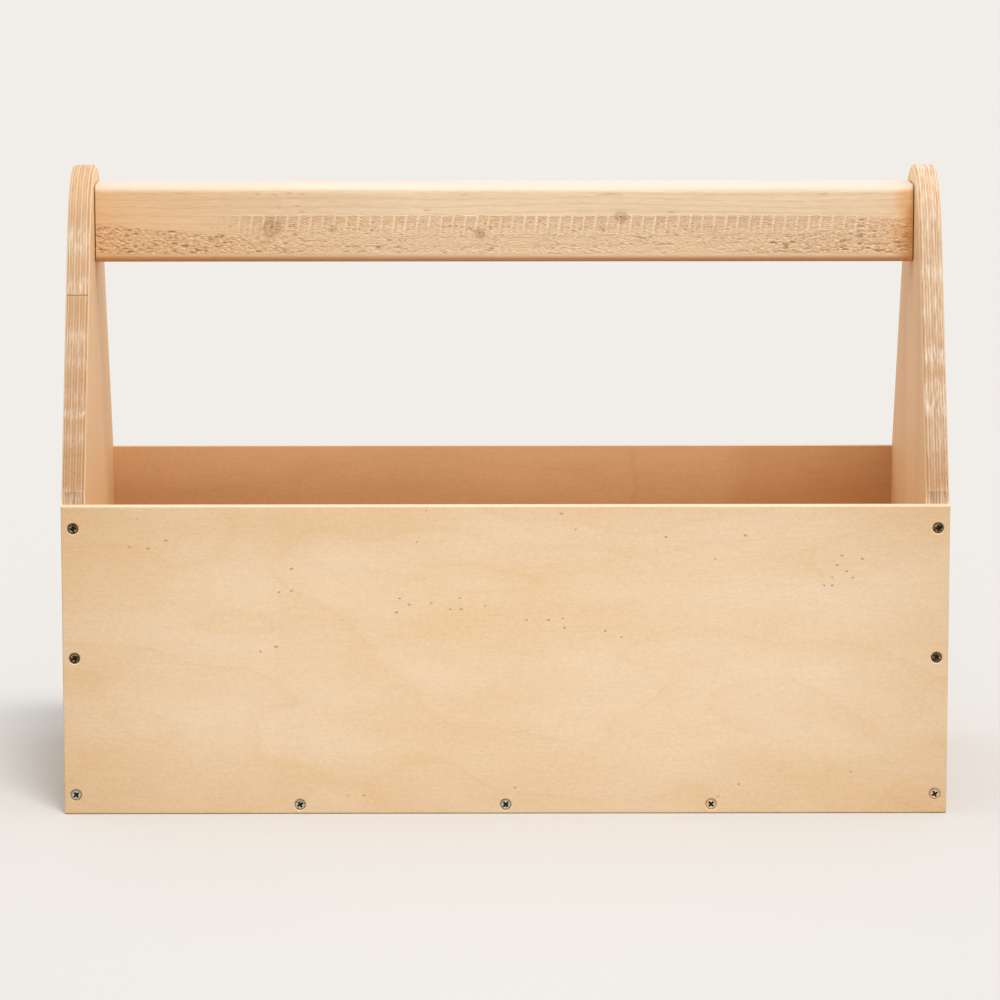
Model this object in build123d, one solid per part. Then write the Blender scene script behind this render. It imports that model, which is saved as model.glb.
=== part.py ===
from build123d import *
import os
from math import asin, atan2, cos, hypot, sin

# Open wooden tool tote: two plywood gable ends, thin plywood front and back panels screwed over
# their edges, a bottom board between the four walls and a batten between the crowns as handle.
# Millimetres. +X runs along the handle, the front faces -Y, +Z is up.
# The origin is the middle of the underside.

# ---- overall and boards ----
tote_length = 560.0            # outside the two end panels, and the panels' own length
end_thickness = 15.0           # nine-ply plywood
end_depth = 254.0              # front edge to back edge of an end panel
crown_height = 401.0           # underside to the top of the crown
crown_radius = 56.0
panel_thickness = 6.5          # three-ply plywood
panel_height = 198.0
shoulder_rise = 8.0            # the end panel's edge stays vertical this far above the panels
bottom_thickness = 12.0
edge_roundover = 2.5           # on both long edges of each gable slope and crown
panel_arris = 1.0              # sanded edge round the panels' outer faces

# ---- handle batten ----
handle_height = 50.0
handle_thickness = 38.0
handle_drop = 11.5             # crown top down to the batten's top
handle_roundover = 5.0

# ---- screws: countersunk, cross recess ----
screw_diameter = 3.5
head_diameter = 7.0
head_sink = 0.5                # head's top below the wood's face
panel_screw_length = 30.0
end_screw_length = 45.0
shank_clearance = 0.1          # radial, in the board that the head pulls down
recess_span = 3.8
recess_slot = 1.1
recess_depth = 1.4

# ---- where the screws sit ----
low_screw_inset = 12.5         # lowest side screw above the underside
top_screw_inset = 14.5         # highest side screw below the panel's top edge
middle_screw_rise = 2.5        # middle side screw above the midpoint of the other two
bottom_screw_pitch = 130.5
bottom_screw_count = 3
handle_screw_pitch = 24.0
handle_screw_count = 2
base_screw_pitch = 130.0
base_screw_count = 2

# ---- worked out from the above ----
inner_length = tote_length - 2 * end_thickness
end_middle_x = (tote_length - end_thickness) / 2
panel_face_y = end_depth / 2 + panel_thickness
shoulder_height = panel_height + shoulder_rise
handle_middle_z = crown_height - handle_drop - handle_height / 2
screw_radius = screw_diameter / 2
head_radius = head_diameter / 2
cone_depth = head_radius - screw_radius          # a 90 degree head is as deep as it is wide
LEFT, RIGHT = -1, 1
FRONT, BACK = -1, 1


def spread(pitch, count):
    """Evenly pitched offsets about zero."""
    return [pitch * (index - (count - 1) / 2) for index in range(count)]


def facing(x, y, z, outward):
    """The place of a screw whose head shows in a face that looks along outward."""
    return Plane(origin=(x, y, z), x_dir=(outward[1], -outward[0], 0), z_dir=outward).location


def panel_side_places(end, face):
    """Screws up one edge of the front or back panel, into the edge of an end panel."""
    lowest, highest = low_screw_inset, panel_height - top_screw_inset
    middle = (lowest + highest) / 2 + middle_screw_rise
    return [
        facing(end * end_middle_x, face * panel_face_y, height, (0, face, 0))
        for height in (lowest, middle, highest)
    ]


def panel_bottom_places(face):
    """Screws along the bottom of the front or back panel, into the bottom board."""
    return [
        facing(offset, face * panel_face_y, bottom_thickness / 2, (0, face, 0))
        for offset in spread(bottom_screw_pitch, bottom_screw_count)
    ]


def handle_places(end):
    """Screws through an end panel, into the end grain of the handle."""
    return [
        facing(end * tote_length / 2, 0, handle_middle_z + offset, (end, 0, 0))
        for offset in spread(handle_screw_pitch, handle_screw_count)
    ]


def base_places(end):
    """Screws through an end panel, into the end of the bottom board."""
    return [
        facing(end * tote_length / 2, offset, bottom_thickness / 2, (end, 0, 0))
        for offset in spread(base_screw_pitch, base_screw_count)
    ]


def turned(*points):
    """A solid turned about Z from half its outline, given as (radius, height) points."""
    outline = make_face(Plane.XZ * Polyline(*points, close=True))
    return revolve(outline, Axis.Z)


def cross_recess():
    """The driver's cross, cut into the head."""
    slots = Rectangle(recess_span, recess_slot) + Rectangle(recess_slot, recess_span)
    return Pos(0, 0, -head_sink - recess_depth) * extrude(slots, recess_depth)


def screw(length):
    """A screw with its head's top just under the face at z = 0. Its shank is as wide as its thread."""
    body = turned(
        (0, -head_sink),
        (head_radius, -head_sink),
        (screw_radius, -head_sink - cone_depth),
        (screw_radius, -head_sink - length),
        (0, -head_sink - length),
    )
    return body - cross_recess()


def countersunk_hole(thickness):
    """What a screw takes out of the board under its head. The piece behind is not drilled."""
    bore_radius = screw_radius + shank_clearance
    return turned(
        (0, 0),
        (head_radius + head_sink, 0),
        (bore_radius, bore_radius - head_radius - head_sink),
        (bore_radius, -thickness),
        (0, -thickness),
    )


def drilled(board, places, thickness):
    """The board with a countersunk hole at each place."""
    for place in places:
        board -= place * countersunk_hole(thickness)
    return board


def gable_outline():
    """End panel seen along X: vertical edges, straight slopes and a round crown they run into."""
    half = end_depth / 2
    centre_height = crown_height - crown_radius
    rise = centre_height - shoulder_height
    lean = atan2(half, rise) - asin(crown_radius / hypot(half, rise))
    touch_y = crown_radius * cos(lean)
    touch_z = centre_height + crown_radius * sin(lean)
    sides = Polyline(
        (-touch_y, touch_z),
        (-half, shoulder_height),
        (-half, 0),
        (half, 0),
        (half, shoulder_height),
        (touch_y, touch_z),
    )
    crown = ThreePointArc((touch_y, touch_z), (0, crown_height), (-touch_y, touch_z))
    return make_face(sides + crown)


def end_panel(end):
    """One gable, rounded over along its slopes and crown, drilled for handle and base screws."""
    slab = extrude(Plane.YZ * gable_outline(), end_thickness / 2, both=True)
    rounded_edges = [
        edge
        for edge in slab.edges()
        if edge.center().Z > shoulder_height and edge.bounding_box().size.X < end_thickness / 2
    ]
    gable = Pos(end * end_middle_x, 0, 0) * fillet(rounded_edges, edge_roundover)
    return drilled(gable, handle_places(end) + base_places(end), end_thickness)


def long_panel(face):
    """Front or back panel: a thin board over the end panels' edges, its outer edges sanded."""
    blank = Box(tote_length, panel_thickness, panel_height)
    outer_edges = blank.faces().sort_by(Axis.Y)[-1 if face == BACK else 0].edges()
    board = fillet(outer_edges, panel_arris)
    panel = Pos(0, face * (end_depth + panel_thickness) / 2, panel_height / 2) * board
    places = panel_bottom_places(face)
    for end in (LEFT, RIGHT):
        places += panel_side_places(end, face)
    return drilled(panel, places, panel_thickness)


def bottom_board():
    """Bottom board, filling the space between the four walls."""
    return Pos(0, 0, bottom_thickness / 2) * Box(inner_length, end_depth, bottom_thickness)


def handle_rail():
    """Handle batten between the end panels, with its four long edges rounded."""
    batten = Box(inner_length, handle_thickness, handle_height)
    return Pos(0, 0, handle_middle_z) * fillet(batten.edges().filter_by(Axis.X), handle_roundover)


def screw_row(places, length):
    """A row of like screws, kept as separate solids in one group."""
    fastener = screw(length)
    return Compound(children=[place * fastener for place in places])


nodes = {
    "end_panel_left": end_panel(LEFT),
    "end_panel_right": end_panel(RIGHT),
    "front_panel": long_panel(FRONT),
    "back_panel": long_panel(BACK),
    "bottom_board": bottom_board(),
    "handle_rail": handle_rail(),
}
for face_name, face in (("front", FRONT), ("back", BACK)):
    nodes[f"{face_name}_bottom_screws"] = screw_row(panel_bottom_places(face), panel_screw_length)
    for end_name, end in (("left", LEFT), ("right", RIGHT)):
        row = screw_row(panel_side_places(end, face), panel_screw_length)
        nodes[f"{face_name}_{end_name}_screws"] = row
for end_name, end in (("left", LEFT), ("right", RIGHT)):
    nodes[f"handle_{end_name}_screws"] = screw_row(handle_places(end), end_screw_length)
    nodes[f"base_{end_name}_screws"] = screw_row(base_places(end), end_screw_length)

os.makedirs("parts", exist_ok=True)
for name, solid in nodes.items():
    export_step(solid, f"parts/{name}.step")
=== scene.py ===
"""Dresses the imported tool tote: plywood gable ends, panels and bottom, a sawn rail and its screws."""

import math

import bmesh
import bpy
from mathutils import Matrix, Vector, noise


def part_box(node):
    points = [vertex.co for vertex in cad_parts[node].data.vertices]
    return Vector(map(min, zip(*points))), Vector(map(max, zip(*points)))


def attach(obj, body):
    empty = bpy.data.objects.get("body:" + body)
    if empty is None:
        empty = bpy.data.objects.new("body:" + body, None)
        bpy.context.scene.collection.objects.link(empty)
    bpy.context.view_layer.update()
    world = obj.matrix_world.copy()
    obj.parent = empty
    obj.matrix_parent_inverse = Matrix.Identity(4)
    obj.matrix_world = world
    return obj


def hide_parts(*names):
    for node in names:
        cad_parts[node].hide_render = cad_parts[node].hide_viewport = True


bl_info = {
    "name": "Wooden tool tote",
    "version": (1, 0, 0),
    "blender": (4, 5, 0),
    "location": "View3D > Sidebar > Tote",
    "description": "Builds the finish of a screwed plywood tool tote round its packed frame",
    "category": "Object",
}

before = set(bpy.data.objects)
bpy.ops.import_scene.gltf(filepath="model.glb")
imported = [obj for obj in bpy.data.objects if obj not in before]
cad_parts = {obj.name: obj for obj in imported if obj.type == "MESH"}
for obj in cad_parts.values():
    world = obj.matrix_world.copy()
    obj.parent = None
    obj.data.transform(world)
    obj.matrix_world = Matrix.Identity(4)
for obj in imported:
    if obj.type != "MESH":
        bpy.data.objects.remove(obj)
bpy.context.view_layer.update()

MM = 0.001
BODY = "root"

# Where the draws of the screws' and pin knots' turns and sizes start.
SEED = 7

# How far the floor reaches to each side, in metres.
FLOOR_REACH = 40.0

# The soft spot in front, in metres: where it hangs, the point that it looks at, and its radius.
FILL_PLACE = (0.02, -1.4, 0.5)
FILL_AIM = (0.01, -0.13, 0.1)
FILL_RADIUS = 0.15

# Where each finish stands among those of the screws. The tan finish is a painted reflection of the wood
# round the heads; the recess finish is painted shade in the cross recesses and in the darkened heads'
# rims; the two rim finishes are painted shade round the other heads.
DARKENED, PLATED, WOOD_REFLECTING, RECESS_SHADE, SHADED_RIM, WARM_SHADED_RIM = range(6)

# How far the CAD screws' heads lie below the face, in metres.
HEAD_SINK = 0.5 * MM

rail_low, rail_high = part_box("handle_rail")
gable_low, gable_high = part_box("end_panel_right")
front_low, front_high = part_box("front_panel")
gable_thickness = (gable_high.x - gable_low.x) / MM

# How far out the ends and the long panels stand, and how high the panels reach, in millimetres.
END_FACE = gable_high.x / MM
LONG_FACE = -front_low.y / MM
PANEL_TOP = front_high.z / MM

# Thickness of the outer veneers and height of the painted highlight along the panels' top edges, in
# millimetres.
BACK_VENEER, GABLE_VENEER, HIGHLIGHT_RIM = 1.2, 0.9, 0.4

# The pale lines between the plies of the ends: millimetres in from the outer face, and strength.
PLY_LINES = ((1.85, 1.0), (3.7, 0.45), (5.4, 0.9), (7.2, 0.35), (9.1, 0.9), (10.8, 0.45), (12.6, 1.0))

# Pin knots on the front panel, in millimetres: right of the middle, and up from the floor. They
# stand this far proud.
PIN_PROUD = 0.06
PIN_KNOTS = (
    (-232, 190), (-214, 176), (-237, 172), (-225, 171), (-135, 158), (-143, 143), (-135, 144),
    (-50, 195), (-56, 175), (-67, 139), (-61, 135), (-69, 130), (-47, 136), (-29, 139), (-35, 132),
    (-28, 132), (-13, 134), (-155, 105), (-145, 108), (-100, 12), (-90, 12), (35, 193),
    (44, 183), (101, 178), (151, 179), (132, 164), (212, 166), (225, 164), (209, 160), (215, 156),
    (206, 152), (219, 152), (201, 147), (206, 147), (13, 125), (27, 125), (37, 120), (36, 126),
    (63, 118), (73, 114), (6, 17), (135, 11), (148, 19), (219, 27),
)

# What age and painted shade leave of the veneer's red, green and blue where a strip or a row is at 1.
AGE_AND_SHADE = (0.82, 0.67, 0.46)

# Colours of small features: the painted highlight along the panels' top edges; redder clouds in the
# ends' inner faces, and the veneer near their feet, warmer partly with age and partly as painted shade
# and bounce; brown stain, pores, filler and glue on the ends' edges; the painted highlight on fibre
# lifted by the saw; the rail's top, greyer with wear and a painted highlight; and the painted shade
# that fills the screws' recesses.
RIM_HIGHLIGHT_COLOUR = "#DCCDBE"
HEART_COLOUR = "#E2B086"
FOOT_AGE_AND_SHADE_COLOUR = "#EDC088"
STAIN_COLOUR = "#B07A48"
PORE_COLOUR = "#96663C"
FILLER_COLOUR = "#F2E6D6"
GLUE_COLOUR = "#7A5230"
FIBRE_HIGHLIGHT_COLOUR = "#FAEAD2"
LIT_WORN_COLOUR = "#D0C7BC"
RECESS_SHADE_COLOUR = "#241A12"

# How darkened the face veneers are, at places in millimetres right of the middle or up from the floor.
# The front is warmer at its left end and borders: painted shade, where the light falls off. Inside, the
# back has a joint, and its own veneer is darker to the right of it; towards its foot it is darker with
# painted shade.
FRONT_SHADE_STRIPS = (
    (-280, 0.36), (-262, 0.28), (-215, 0.1), (-150, 0.06), (-138, 0.14), (-112, 0.05), (0, 0.0),
    (205, 0.0), (245, 0.12), (280, 0.22))
FRONT_SHADE_ROWS = ((0, 0.4), (14, 0.28), (50, 0.04), (145, 0.0), (178, 0.2), (198, 0.3))
BACK_STRIPS = (
    (-280, 0.0), (86, 0.0), (88, 0.3), (91, 0.05), (150, 0.05), (168, 0.42), (280, 0.5))
# Painted shade: the back darker towards its foot.
BACK_SHADE_ROWS = ((0, 0.5), (165, 0.42), (185, 0.1), (198, 0.0))

# Twice the height of the ends, in millimetres: the span of the bands on their edges.
EDGE_SPAN = 2 * gable_high.z / MM

# Whitish filler and brown stain on the routed edges of the ends: height in millimetres, strength.
LEFT_FILLER = (
    (205, 0.5), (208, 0.0), (233, 0.0), (238, 0.35), (246, 0.0), (250, 0.2), (253, 0.9),
    (257, 0.1), (262, 0.35), (268, 0.05), (279, 0.1), (283, 0.5), (289, 0.1), (299, 0.6),
    (305, 0.1), (322, 0.0), (327, 0.8), (331, 0.6), (336, 0.1), (346, 0.1), (353, 0.7),
    (359, 0.9), (365, 0.4), (372, 0.05), (401, 0.3))
LEFT_STAIN = (
    (205, 0.0), (208, 0.7), (222, 0.4), (227, 0.3), (229, 0.9), (232, 0.2), (244, 0.1),
    (248, 0.5), (251, 0.0), (256, 0.2), (258.5, 0.8), (261, 0.1), (268, 0.35), (276, 0.3),
    (280, 0.0), (286, 0.1), (287, 0.8), (288.5, 0.1), (305, 0.1), (318, 0.25), (324, 0.1),
    (350, 0.0), (375, 0.15))
RIGHT_FILLER = (
    (205, 0.5), (208, 0.1), (220, 0.1), (235, 0.35), (250, 0.3), (256, 0.75), (270, 0.6),
    (276, 0.1), (281, 0.3), (285, 0.85), (291, 0.6), (295, 0.2), (305, 0.4), (318, 0.65),
    (330, 0.4), (337, 0.9), (345, 0.4), (370, 0.6), (385, 0.5), (401, 0.8))
RIGHT_STAIN = (
    (205, 0.1), (208, 0.75), (225, 0.5), (234, 0.1), (275, 0.25), (279, 0.3), (284, 0.0), (300, 0.15),
    (346, 0.1), (350, 0.35), (354, 0.05), (401, 0.0))

# Height of the glue line across the left end's edge, in millimetres up from the floor, and how
# dark it is, from 0 to 1.
GLUE_HEIGHT = 324.3
GLUE_STRENGTH = 0.75

# The saw marks on the rail, in millimetres: their left and right ends right of the middle, their
# tops, and the sawn band's foot. They lean by this share of their height.
COMB_LEFT, COMB_RIGHT = -200, 262
COMB_TOP, SAWN_FOOT = 370.6, 344.3
SAW_SLANT = 0.14

# Where the rail turns warmer towards its left end, darker with painted shade at its right end, where
# the gable shades it, and at its foot, and paler along its top with a painted highlight and some wear,
# in millimetres: where each begins, and where it is full.
WARM_END = (-60.0, -250.0)
SHADED_END = (259.0, 273.0)
SHADED_FOOT = (345.5, 341.5)
LIT_WORN_TOP = (385.5, 388.6)

# Knots in the rail's front face, in millimetres: right of the middle, up from the floor, radius.
RAIL_KNOTS = ((-150.3, 361.9, 5.2), (-15.8, 358.5, 2.8), (75.2, 368.9, 3.2))

# The rings of those knots: a share of their reach from the heart, and how dark each is.
KNOT_RINGS = (
    (0.0, 1.0), (0.13, 0.55), (0.22, 0.22), (0.32, 0.5), (0.41, 0.2), (0.53, 0.55), (0.64, 0.15),
    (1.0, 0.0))

# What the rail's mesh tells its material, each from 0 to 1: sawn; pale, a painted highlight where
# lifted fibre and the saw marks' lips catch the light, with painted glints; and the third, ripped fibre
# with the painted shadow in the saw marks' grooves and cells.
RAIL_LAYERS = ("sawn", "pale", "torn")

# Small tears in the planed part of the rail, in millimetres: right of the middle, up, half length.
RAIL_TEARS = (
    (-159.5, 383.6, 2.2), (-148.2, 383.3, 2.6), (-139.1, 384.3, 2.8), (-130.7, 383.9, 3.0),
    (-145.7, 374.8, 2.4), (-134.0, 376.0, 2.5), (-131.0, 372.5, 2.2), (-25.5, 383.5, 3.2),
    (-50.1, 373.5, 2.0), (68.8, 383.7, 10.0), (206.5, 384.0, 3.8), (107.7, 371.9, 3.8),
)


# Settings that every node of a kind has here.
USUAL = {"Mix": {"data_type": "RGBA"}}


def srgb(colour):
    """A hex colour as written on screen, turned into the linear values that Blender mixes."""
    parts = [int(colour[i:i + 2], 16) / 255 for i in (1, 3, 5)]
    return [p / 12.92 if p <= 0.04045 else ((p + 0.055) / 1.055) ** 2.4 for p in parts] + [1.0]


def add(tree, kind, inputs=None, stops=None, **settings):
    """Adds a shader node, sets its settings and ramp stops, and links or fills its sockets."""
    node = tree.nodes.new("ShaderNode" + kind)
    for name, value in {**USUAL.get(kind, {}), **settings}.items():
        setattr(node, name, value)
    if stops:
        ramp = node.color_ramp.elements
        while len(ramp) < len(stops):
            ramp.new(0.5)
        for stop, (place, colour) in zip(ramp, stops):
            stop.position, stop.color = place, colour
    shown = [s for s in node.inputs if s.enabled]
    for key, value in (inputs or {}).items():
        socket = shown[key] if isinstance(key, int) else next(s for s in shown if s.name == key)
        if isinstance(value, bpy.types.Node):
            value = next(s for s in value.outputs if s.enabled)
        if isinstance(value, bpy.types.NodeSocket):
            tree.links.new(value, socket)
        else:
            socket.default_value = value
    return node


class StageLook(bpy.types.PropertyGroup):
    """The floor, the lamps and the camera."""

    floor_colour: bpy.props.FloatVectorProperty(
        name="Floor colour", description="Colour of the plain floor as the camera sees it",
        size=4, subtype="COLOR", default=srgb("#C7C4C0"))
    bounce_colour: bpy.props.FloatVectorProperty(
        name="Floor bounce", description="Colour of the floor as the tote sees it",
        size=4, subtype="COLOR", default=srgb("#70675D"))
    sun_strength: bpy.props.FloatProperty(
        name="Key strength", description="Strength of the soft light from high on the right",
        default=1.95)
    sun_height: bpy.props.FloatProperty(
        name="Key height", description="Angle of the key light above the floor",
        subtype="ANGLE", default=math.radians(62))
    sun_side: bpy.props.FloatProperty(
        name="Key side", description="Angle of the key light to the right of the camera",
        subtype="ANGLE", default=math.radians(20))
    sun_softness: bpy.props.FloatProperty(
        name="Key softness", description="How wide the key light looks from the tote",
        subtype="ANGLE", default=math.radians(16))
    fill_power: bpy.props.FloatProperty(
        name="Fill power", description="Strength of the soft spot on the front panel",
        unit="POWER", default=8.5)
    fill_spread: bpy.props.FloatProperty(
        name="Fill spread", description="Width of the soft spot's cone",
        subtype="ANGLE", default=math.radians(36))
    sky: bpy.props.FloatProperty(
        name="Sky", description="Strength of the even light from all round", default=0.97)
    camera_place: bpy.props.FloatVectorProperty(
        name="Camera place", description="Where the camera stands",
        size=3, subtype="TRANSLATION", unit="LENGTH", default=(-0.0238, -3.2415, 0.6906))
    camera_down: bpy.props.FloatProperty(
        name="Camera tilt", description="How far the camera looks down",
        subtype="ANGLE", default=math.radians(8.939))
    camera_turn: bpy.props.FloatProperty(
        name="Camera turn", description="How far the camera turns towards the right end",
        subtype="ANGLE", default=math.radians(0.372))
    lens: bpy.props.FloatProperty(
        name="Lens", description="Focal length on a 36 mm sensor, in millimetres", default=180.06)


class WoodLook(bpy.types.PropertyGroup):
    """The colours of the timber."""

    face_colour: bpy.props.FloatVectorProperty(
        name="Panel face", description="Colour of the sanded birch face veneer",
        size=4, subtype="COLOR", default=srgb("#F0D6B6"))
    warm_colour: bpy.props.FloatVectorProperty(
        name="Panel figure", description="Colour of the warmer clouds in the face veneer",
        size=4, subtype="COLOR", default=srgb("#EAC79A"))
    inside_colour: bpy.props.FloatVectorProperty(
        name="Inside face", description="Colour of the redder veneer inside the tote",
        size=4, subtype="COLOR", default=srgb("#DAAB7A"))
    gable_colour: bpy.props.FloatVectorProperty(
        name="Gable face", description="Colour of the face veneer of the ends",
        size=4, subtype="COLOR", default=srgb("#FCD8A7"))
    core_colour: bpy.props.FloatVectorProperty(
        name="Core plies", description="Colour of the cross plies seen on the cut edge",
        size=4, subtype="COLOR", default=srgb("#CC9C6C"))
    pale_colour: bpy.props.FloatVectorProperty(
        name="Pale plies", description="Colour of the thin plies between the cores",
        size=4, subtype="COLOR", default=srgb("#E8CBA4"))
    rail_colour: bpy.props.FloatVectorProperty(
        name="Rail", description="Colour of the planed softwood rail",
        size=4, subtype="COLOR", default=srgb("#EDD2B0"))
    late_colour: bpy.props.FloatVectorProperty(
        name="Rail latewood", description="Colour of the dark lines of the softwood",
        size=4, subtype="COLOR", default=srgb("#D9A76C"))
    # Painted shade: the colour of the rail's foot and right end.
    rail_shade_colour: bpy.props.FloatVectorProperty(
        name="Rail, soiled", description="Colour of the rail's foot and right end",
        size=4, subtype="COLOR", default=srgb("#DE9B50"))
    # This colour also paints the shadow in the sawn band's grooves and cells.
    knot_colour: bpy.props.FloatVectorProperty(
        name="Knots", description="Colour of the rail's knots and torn fibres",
        size=4, subtype="COLOR", default=srgb("#9E6228"))
    pin_colour: bpy.props.FloatVectorProperty(
        name="Pin knots", description="Colour of the pin knots in the front panel",
        size=4, subtype="COLOR", default=srgb("#CDA06C"))


class RailShape(bpy.types.PropertyGroup):
    """The sizes of the handle rail's surface."""

    roundover: bpy.props.FloatProperty(
        name="Roundover", description="Radius along the rail's four long edges",
        unit="LENGTH", default=5.0 * MM)
    saw_pitch: bpy.props.FloatProperty(
        name="Saw mark pitch", description="Distance between the marks left by the saw",
        unit="LENGTH", default=7.67 * MM)
    saw_depth: bpy.props.FloatProperty(
        name="Sawn depth", description="How far the sawn band lies below the planed face",
        unit="LENGTH", default=0.5 * MM)
    end_gap: bpy.props.FloatProperty(
        name="End gap", description="Clear space between the rail's ends and the gable ends",
        unit="LENGTH", default=0.7 * MM)
    mesh_step: bpy.props.FloatProperty(
        name="Mesh step", description="Size of the mesh squares on the sawn face",
        unit="LENGTH", default=0.65 * MM)


class ScrewShape(bpy.types.PropertyGroup):
    """The sizes of a countersunk cross-recess screw."""

    head: bpy.props.FloatProperty(
        name="Head", description="Diameter of the flat head", unit="LENGTH", default=7.0 * MM)
    shank: bpy.props.FloatProperty(
        name="Shank", description="Diameter of the shank", unit="LENGTH", default=3.5 * MM)
    recess: bpy.props.FloatProperty(
        name="Recess span", description="Width across the cross recess",
        unit="LENGTH", default=5.6 * MM)
    recess_arm: bpy.props.FloatProperty(
        name="Recess arm", description="Width of each arm of the cross recess",
        unit="LENGTH", default=1.568 * MM)
    recess_depth: bpy.props.FloatProperty(
        name="Recess depth", description="Depth of the cross recess",
        unit="LENGTH", default=1.5 * MM)


def scaled(colour, factor):
    """The same colour, lighter or darker by a factor."""
    return [c * factor for c in colour[:3]] + [1.0]


def board_space(tree, along, across, through):
    """The place on a board in millimetres: along the grain, across it and through it."""
    axes = add(tree, "SeparateXYZ", {0: add(tree, "TexCoord").outputs["Object"]})
    turned = add(tree, "CombineXYZ", {
        0: axes.outputs[along], 1: axes.outputs[across], 2: axes.outputs[through]})
    return add(tree, "VectorMath", {0: turned, "Scale": 1 / MM}, operation="SCALE")


def streaks(tree, space, length, width, depth, detail=2.0, shift=0.0):
    """Noise drawn out along the grain, with marks of about these sizes in millimetres."""
    stretched = add(tree, "Mapping", {
        0: space, "Location": (shift, shift, shift),
        "Scale": (1 / length, 1 / width, 1 / depth)})
    return add(tree, "TexNoise", {0: stretched, "Scale": 1.0, "Detail": detail})


def matt_shader(name, roughness):
    """A new matt material with the IOR of bare wood, 1.45: itself, its node tree and its shader."""
    material = bpy.data.materials.new(name)
    material.use_nodes = True
    shader = material.node_tree.nodes["Principled BSDF"]
    shader.inputs["Roughness"].default_value = roughness
    shader.inputs["IOR"].default_value = 1.45
    return material, material.node_tree, shader


def tint(tree, colour, pattern, dark, light):
    """The colour, darker and lighter by turns as a pattern goes from 0.3 to 0.7."""
    shade = add(tree, "MapRange", {
        0: pattern, "From Min": 0.3, "From Max": 0.7, "To Min": dark, "To Max": light})
    return add(tree, "VectorMath", {0: colour, "Scale": shade}, operation="SCALE")


def veneer(tree, space, colour, warm):
    """Rotary-cut birch: wide soft figure with faint contour lines, warmer clouds, short fibres."""
    clouds = streaks(tree, space, 150, 45, 400, 3.0, 3.7)
    field = streaks(tree, space, 330, 120, 400, 2.0, 11.3)
    steps = add(tree, "Math", {
        0: add(tree, "Math", {0: field, 1: 11.0}, operation="MULTIPLY")}, operation="FRACT")
    contour = add(tree, "ValToRGB", {0: steps}, [
        (0.0, (0.1, 0.1, 0.1, 1)), (0.12, (0.0, 0.0, 0.0, 1)), (0.6, (0.06, 0.06, 0.06, 1)),
        (0.88, (0.16, 0.16, 0.16, 1)), (0.96, (0.34, 0.34, 0.34, 1)), (1.0, (0.1, 0.1, 0.1, 1))])
    cloudy = add(tree, "MapRange", {
        0: clouds, "From Min": 0.34, "From Max": 0.7, "To Min": 0.05, "To Max": 0.75})
    strength = add(tree, "Math", {0: cloudy, 1: contour}, operation="ADD", use_clamp=True)
    mixed = add(tree, "Mix", {"Factor": strength, "A": colour, "B": warm})
    fibres = tint(tree, mixed, streaks(tree, space, 30, 1.6, 200, 3.0), 0.986, 1.014)
    dashes = add(tree, "MapRange", {
        0: streaks(tree, space, 14, 0.9, 200, 1.0, 21.0), "From Min": 0.68, "From Max": 0.78,
        "To Min": 1.0, "To Max": 1.06})
    dashed = add(tree, "VectorMath", {0: fibres, "Scale": dashes}, operation="SCALE")
    return tint(tree, dashed, streaks(tree, space, 2.6, 1.0, 200, 2.0, 5.0), 0.95, 1.05)


def bands(tree, axis, span, shades):
    """Greys along an axis that blend into each other: each shade stands at a place in millimetres,
    at most half the span from zero."""
    place = add(tree, "Math", {0: axis, 1: 1 / span, 2: 0.5}, operation="MULTIPLY_ADD")
    return add(tree, "ValToRGB", {0: place}, [
        (0.5 + spot / span, (shade, shade, shade, 1.0)) for spot, shade in shades])


def grain_bump(tree, shader, height, strength, distance=0.1 * MM):
    """Gives the shader a relief from a pattern; the distance is how deep its darkest places lie."""
    bump = add(tree, "Bump", {"Strength": strength, "Distance": distance, "Height": height})
    tree.links.new(bump.outputs[0], shader.inputs["Normal"])


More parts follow.
